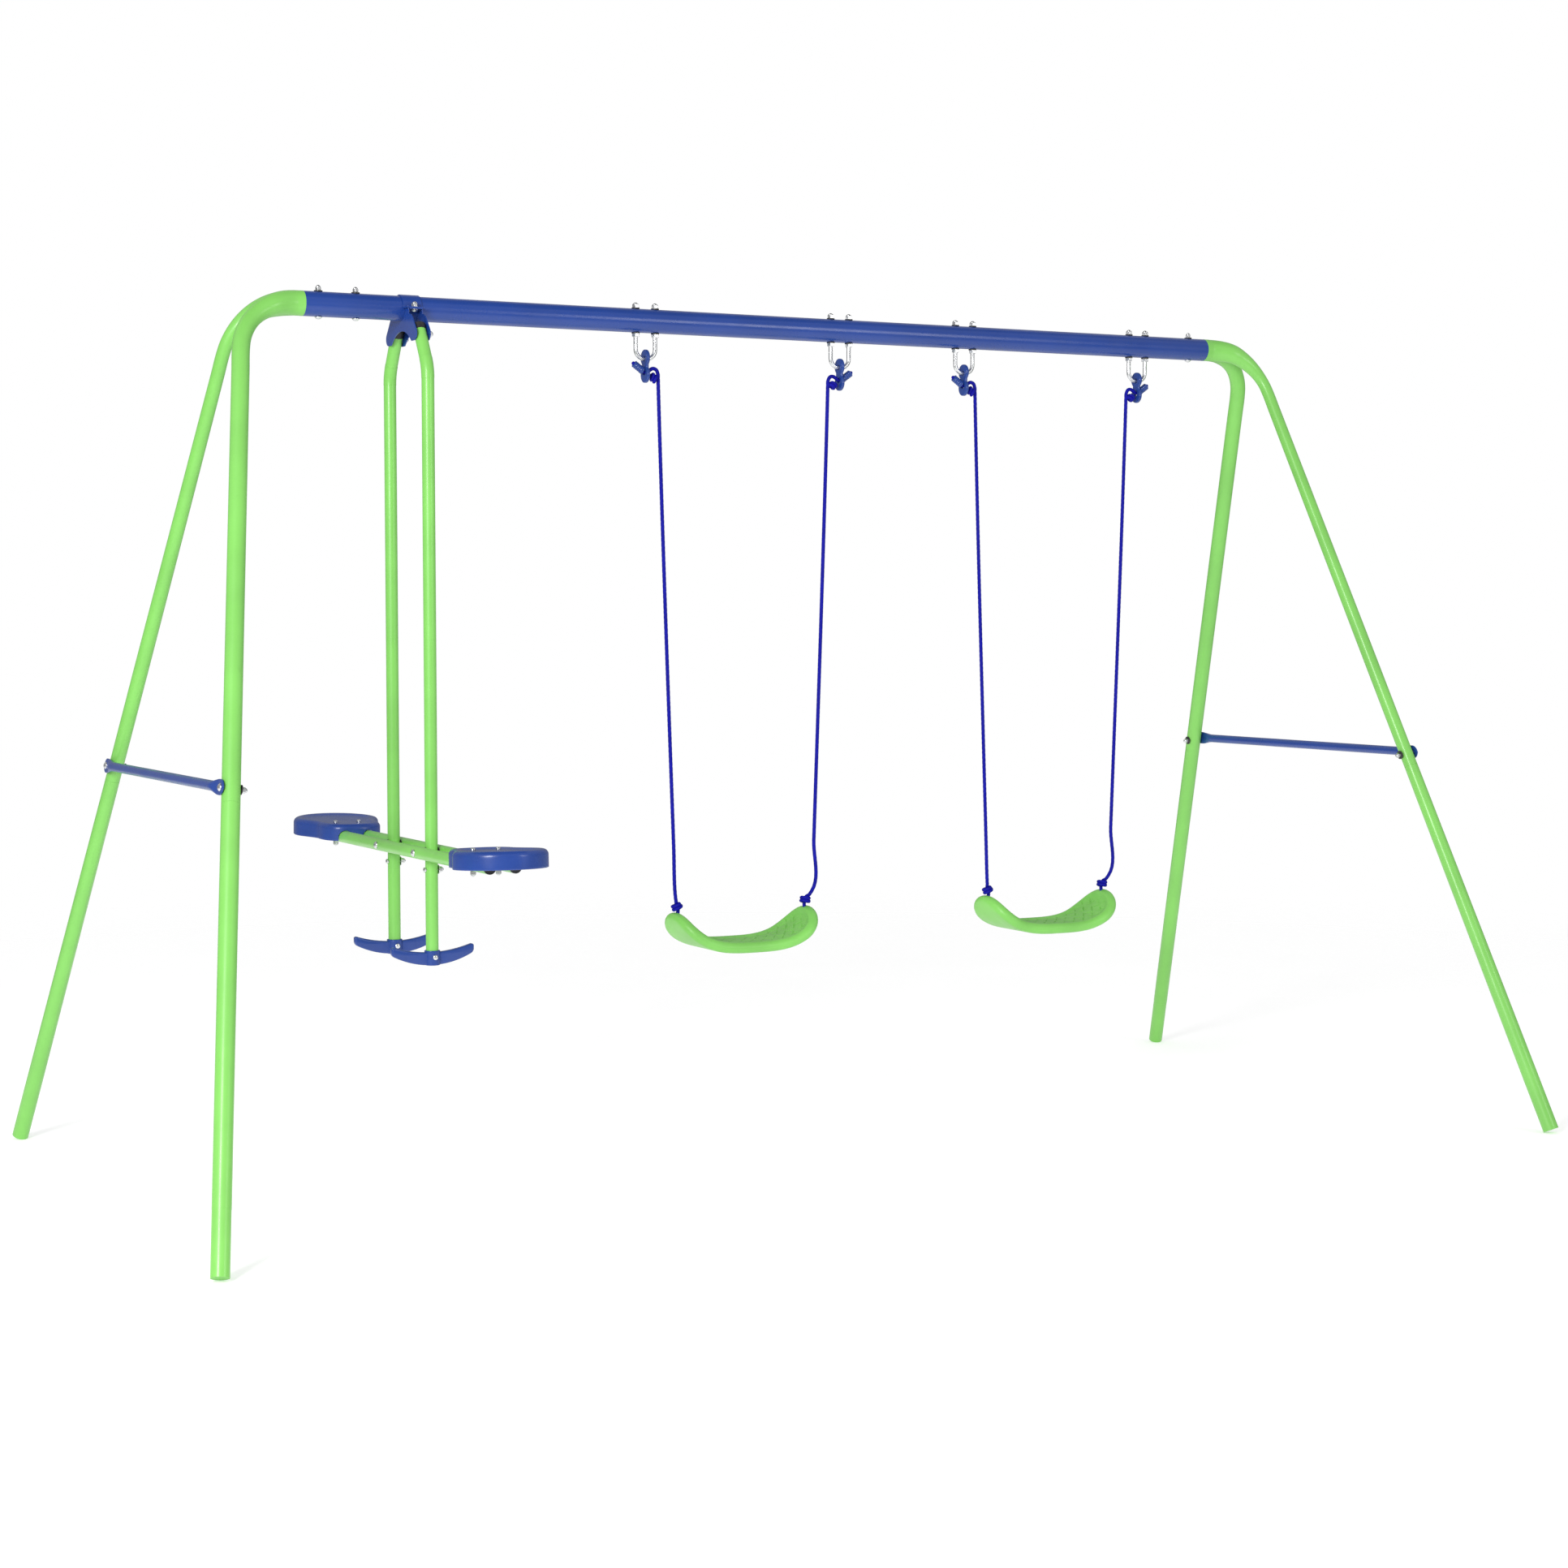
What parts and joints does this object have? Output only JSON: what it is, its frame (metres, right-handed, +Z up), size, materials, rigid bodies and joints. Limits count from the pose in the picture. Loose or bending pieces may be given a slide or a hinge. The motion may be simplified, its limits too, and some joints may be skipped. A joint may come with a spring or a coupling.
{
  "type": "swing set with a glider",
  "caption": "Free-standing tube frame swing set: A-frame ends, a top beam, a face-to-face glider on rigid hangers and rope swings with curved seats.",
  "frame": {"origin": "on the ground, under the middle of the beam", "axes": "+X along the beam away from the glider, +Y from front to back, +Z up"},
  "size_m": [3.052, 1.5498, 1.805],
  "materials": {
    "green_steel": "semi-gloss powder coat",
    "green_plug": "satin",
    "blue_steel": "semi-gloss powder coat",
    "bright_steel": "zinc plated",
    "black_plastic": "satin",
    "blue_plastic": "gloss",
    "green_plastic": "satin",
    "rope": "braided"
  },
  "bodies": {
    "frame": {"left_end_frame": "green_steel", "right_end_frame": "green_steel", "left_front_leg": "green_steel", "left_rear_leg": "green_steel", "right_front_leg": "green_steel", "right_rear_leg": "green_steel", "foot_plugs": "green_plug", "left_brace": "blue_steel", "right_brace": "blue_steel", "brace_bolts": "bright_steel", "brace_washers": "black_plastic", "brace_nuts": "bright_steel", "beam_left": "blue_steel", "beam_middle": "blue_steel", "beam_right": "blue_steel", "beam_bolts": "bright_steel", "beam_washers": "black_plastic", "beam_nuts": "bright_steel", "u_bolts": "bright_steel", "u_bolt_lock_nuts": "bright_steel", "u_bolt_cap_nuts": "bright_steel", "glider_bracket": "blue_steel", "glider_strap": "blue_steel", "bracket_bolts": "bright_steel", "bracket_nuts": "bright_steel", "hanger_pivot_studs": "blue_steel", "hanger_pivot_nuts": "bright_steel"},
    "glider_front_hanger": {"front_hanger_top": "green_steel", "front_hanger_cap": "black_plastic", "front_hanger_middle": "green_steel", "front_hanger_foot": "green_steel", "front_footrest": "blue_plastic", "front_hanger_bolts": "bright_steel", "front_hanger_nuts": "bright_steel"},
    "glider_rear_hanger": {"rear_hanger_top": "green_steel", "rear_hanger_cap": "black_plastic", "rear_hanger_middle": "green_steel", "rear_hanger_foot": "green_steel", "rear_footrest": "blue_plastic", "rear_hanger_bolts": "bright_steel", "rear_hanger_nuts": "bright_steel"},
    "glider_seats": {"left_seat_bar": "green_steel", "right_seat_bar": "green_steel", "bar_end_plugs": "black_plastic", "bar_spacers": "black_plastic", "bar_pivot_bolts": "bright_steel", "bar_pivot_nuts": "bright_steel", "front_glider_seat": "blue_plastic", "rear_glider_seat": "blue_plastic", "glider_seat_bolts": "bright_steel", "glider_seat_nuts": "bright_steel"},
    "swing_1_ropes": {"swing_1_links": "blue_plastic", "swing_1_rope_sleeves": "blue_plastic", "swing_1_ropes": "rope"},
    "swing_1_seat": {"swing_1_seat": "green_plastic"},
    "swing_2_ropes": {"swing_2_links": "blue_plastic", "swing_2_rope_sleeves": "blue_plastic", "swing_2_ropes": "rope"},
    "swing_2_seat": {"swing_2_seat": "green_plastic"}
  },
  "joints": [
    {"name": "glider_swing", "type": "hinge", "parent": "frame", "child": "glider_front_hanger", "pos_m": [-0.875, -0.07, 1.711], "axis": [1, 0, 0], "range_deg": [-20, 20]},
    {"name": "glider_rear_swing", "type": "hinge", "parent": "frame", "child": "glider_rear_hanger", "pos_m": [-0.875, 0.07, 1.711], "axis": [1, 0, 0], "range_deg": [-20, 20]},
    {"name": "glider_seat_pivot", "type": "hinge", "parent": "glider_front_hanger", "child": "glider_seats", "pos_m": [-0.875, -0.11, 0.671], "axis": [1, 0, 0], "range_deg": [-15, 15]},
    {"name": "swing_1_swing", "type": "hinge", "parent": "frame", "child": "swing_1_ropes", "pos_m": [-0.111, 0, 1.688], "axis": [1, 0, 0], "range_deg": [-45, 45]},
    {"name": "swing_1_seat_tilt", "type": "hinge", "parent": "swing_1_ropes", "child": "swing_1_seat", "pos_m": [-0.111, 0.014, 0.50693], "axis": [1, 0, 0], "range_deg": [-30, 30]},
    {"name": "swing_2_swing", "type": "hinge", "parent": "frame", "child": "swing_2_ropes", "pos_m": [0.676, 0, 1.688], "axis": [1, 0, 0], "range_deg": [-45, 45]},
    {"name": "swing_2_seat_tilt", "type": "hinge", "parent": "swing_2_ropes", "child": "swing_2_seat", "pos_m": [0.676, 0.014, 0.50693], "axis": [1, 0, 0], "range_deg": [-30, 30]}
  ],
  "couplings": [
    {"joint": "glider_rear_swing", "follows": "glider_swing", "ratio": 1},
    {"joint": "glider_seat_pivot", "follows": "glider_swing", "ratio": -0.63636}
  ]
}
